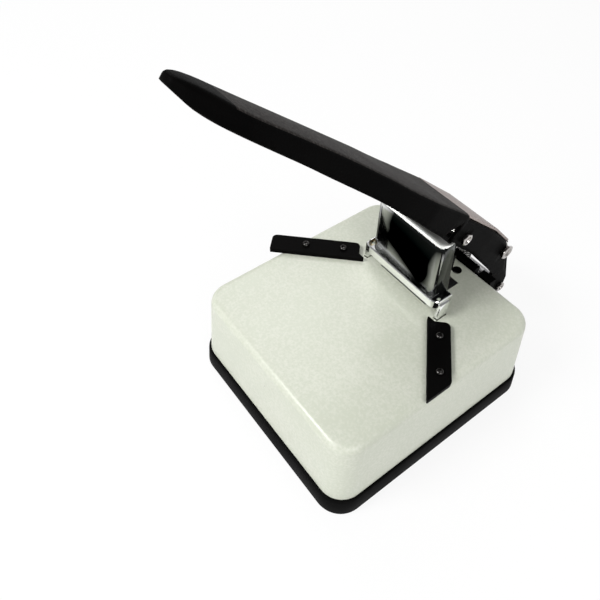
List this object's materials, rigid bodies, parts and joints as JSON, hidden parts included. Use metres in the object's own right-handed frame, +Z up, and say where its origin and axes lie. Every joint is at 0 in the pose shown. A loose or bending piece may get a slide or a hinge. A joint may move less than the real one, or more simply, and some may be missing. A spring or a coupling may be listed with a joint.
{
  "type": "corner rounder",
  "caption": "Bench corner rounder: enamelled body with paper guides, sprung presser foot and a radius punch worked by a long hand lever",
  "frame": {"origin": "on the underside of the base, straight below the point of the sheet's square corner when it lies against both guides", "axes": "+X right, +Y to the rear, +Z up; the lever turns about X"},
  "size_m": [0.1467, 0.2093, 0.2394],
  "materials": {
    "enamel": "smooth grey-green enamel",
    "rubber": "matt black moulding",
    "black_coat": "fine-textured black coat",
    "warm_coat": "fine-textured warm grey coat",
    "chrome": "polished plate",
    "steel": "ground steel",
    "zinc": "bright zinc plate"
  },
  "bodies": {
    "base": {"body_housing": "enamel", "base_cover": "rubber", "die_plate": "steel", "chassis_plate": "steel", "die_screw_left": "zinc", "die_screw_right": "zinc", "chassis_screw_front_left": "zinc", "chassis_screw_front_right": "zinc", "chassis_screw_rear_left": "zinc", "chassis_screw_rear_right": "zinc", "guide_post_left": "steel", "guide_post_right": "steel", "guide_left": "black_coat", "guide_right": "black_coat", "guide_screw_left_1": "zinc", "guide_screw_left_2": "zinc", "guide_screw_right_1": "zinc", "guide_screw_right_2": "zinc", "rear_bracket": "black_coat", "bracket_screw_high_left": "zinc", "bracket_screw_high_right": "zinc", "bracket_screw_low_left": "zinc", "bracket_screw_low_right": "zinc", "tie_bolt": "zinc", "tie_nut": "zinc", "tie_sleeve": "steel", "pivot_bolt": "zinc", "pivot_nut": "zinc", "pivot_sleeve": "steel", "pivot_washer_left": "zinc", "pivot_washer_right": "zinc", "return_spring": "steel"},
    "lever": {"lever_arm": "black_coat", "lever_cover_plate": "warm_coat", "link_bolt": "zinc", "link_nut": "zinc", "link_spacer_left": "zinc", "link_spacer_right": "zinc", "spring_seat": "black_coat"},
    "ram": {"ram": "black_coat", "punch": "steel", "punch_screw_left": "zinc", "punch_screw_right": "zinc"},
    "presser": {"presser_foot": "chrome", "guard_shield": "chrome", "guard_screw_left": "zinc", "guard_screw_right": "zinc", "presser_bolt_left": "zinc", "presser_bolt_right": "zinc", "presser_spring_left": "steel", "presser_spring_right": "steel"}
  },
  "joints": [
    {"name": "lever_hinge", "type": "hinge", "parent": "base", "child": "lever", "pos_m": [0, 0.044, 0.067], "axis": [1, 0, 0], "range_deg": [0, 12], "stiffness_Nm_per_rad": 6, "springref_deg": -20.05, "deforming": ["return_spring"]},
    {"name": "ram_slide", "type": "slide", "parent": "base", "child": "ram", "axis": [0, 0, -1], "range_m": [0, 0.01063], "deforming": ["presser_spring_left", "presser_spring_right"]},
    {"name": "presser_slide", "type": "slide", "parent": "base", "child": "presser", "axis": [0, 0, -1], "range_m": [0, 0.00871]}
  ],
  "couplings": [
    {"joint": "ram_slide", "follows": "lever_hinge", "m_per_rad": 0.050726},
    {"joint": "presser_slide", "follows": "lever_hinge", "m_per_rad": 0.041539}
  ]
}
